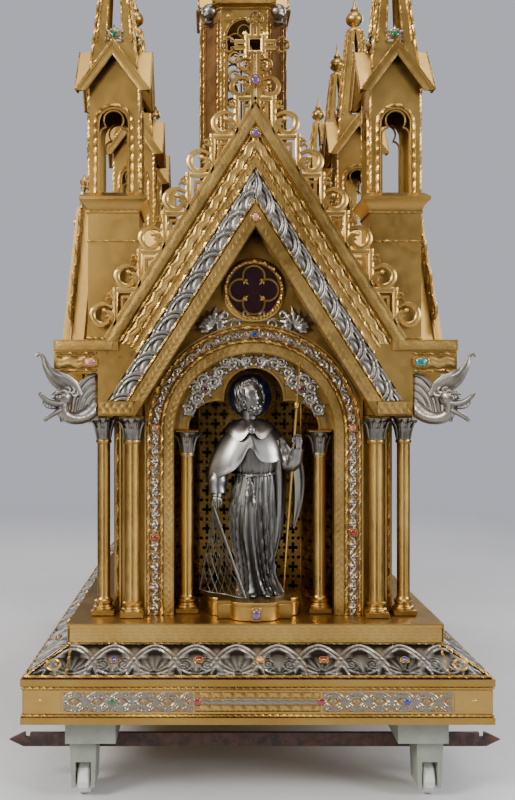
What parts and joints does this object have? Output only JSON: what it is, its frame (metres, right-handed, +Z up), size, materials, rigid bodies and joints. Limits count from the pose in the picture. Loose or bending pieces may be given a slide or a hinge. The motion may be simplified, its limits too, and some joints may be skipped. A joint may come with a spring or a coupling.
{
  "type": "reliquary shrine",
  "caption": "Large gilt church-shaped reliquary with a niche figure, gables, open pinnacles and a central tower, on a low base with castor wheels.",
  "frame": {"origin": "on the floor under the middle of the base", "axes": "+Z up, front end towards -Y, +X to the right seen from the front, +Y along the length"},
  "size_m": [0.918, 1.5, 2.2526],
  "materials": {
    "gilt_brass": "satin gilding, darker in the recesses",
    "silver": "oxidised silver, dark in the recesses and bright on the edges",
    "painted_steel": "dull grey-green paint",
    "nylon": "matt, scuffed on the tread",
    "iron_bar": "brown, rusted"
  },
  "bodies": {
    "shrine": {"base_plinth": "gilt_brass", "base_skirt": "silver", "floor_step": "gilt_brass", "castor_bracket_front_left": "painted_steel", "castor_bracket_front_right": "painted_steel", "bar_front": "iron_bar", "castor_bracket_back_left": "painted_steel", "castor_bracket_back_right": "painted_steel", "bar_back": "iron_bar", "column_front_left_corner": "gilt_brass", "column_front_left_pair": "gilt_brass", "column_niche_left": "gilt_brass", "column_front_right_corner": "gilt_brass", "column_front_right_pair": "gilt_brass", "column_niche_right": "gilt_brass", "column_back_left_corner": "gilt_brass", "column_back_left_pair": "gilt_brass", "column_back_right_corner": "gilt_brass", "column_back_right_pair": "gilt_brass", "crest_front": "gilt_brass", "wall_front": "gilt_brass", "portal_front": "gilt_brass", "gable_front": "gilt_brass", "crest_back": "gilt_brass", "wall_back": "gilt_brass", "portal_back": "gilt_brass", "gable_back": "gilt_brass", "trefoil_arch": "gilt_brass", "niche_front": "gilt_brass", "panel_back": "gilt_brass", "arcade_left": "gilt_brass", "gable_left_fore": "gilt_brass", "gable_left_middle": "gilt_brass", "gable_left_aft": "gilt_brass", "arcade_right": "gilt_brass", "gable_right_fore": "gilt_brass", "gable_right_middle": "gilt_brass", "gable_right_aft": "gilt_brass", "roof": "gilt_brass", "pinnacle_front_left": "gilt_brass", "pinnacle_fore_left": "gilt_brass", "pinnacle_aft_left": "gilt_brass", "pinnacle_back_left": "gilt_brass", "pinnacle_front_right": "gilt_brass", "pinnacle_fore_right": "gilt_brass", "pinnacle_aft_right": "gilt_brass", "pinnacle_back_right": "gilt_brass", "tower": "gilt_brass", "tower_spire": "gilt_brass", "figure_base": "gilt_brass", "figure": "silver", "staff": "gilt_brass", "gargoyle_front_left": "silver", "gargoyle_front_right": "silver", "gargoyle_back_left": "silver", "gargoyle_back_right": "silver"},
    "wheel_front_left": {"wheel_front_left": "nylon"},
    "wheel_front_right": {"wheel_front_right": "nylon"},
    "wheel_back_left": {"wheel_back_left": "nylon"},
    "wheel_back_right": {"wheel_back_right": "nylon"}
  },
  "joints": [
    {"name": "roll_front_left", "type": "hinge", "parent": "shrine", "child": "wheel_front_left", "pos_m": [-0.312, -0.674, 0.03], "axis": [1, 0, 0], "continuous": true},
    {"name": "roll_front_right", "type": "hinge", "parent": "shrine", "child": "wheel_front_right", "pos_m": [0.312, -0.674, 0.03], "axis": [1, 0, 0], "continuous": true},
    {"name": "roll_back_left", "type": "hinge", "parent": "shrine", "child": "wheel_back_left", "pos_m": [-0.312, 0.674, 0.03], "axis": [1, 0, 0], "continuous": true},
    {"name": "roll_back_right", "type": "hinge", "parent": "shrine", "child": "wheel_back_right", "pos_m": [0.312, 0.674, 0.03], "axis": [1, 0, 0], "continuous": true}
  ]
}
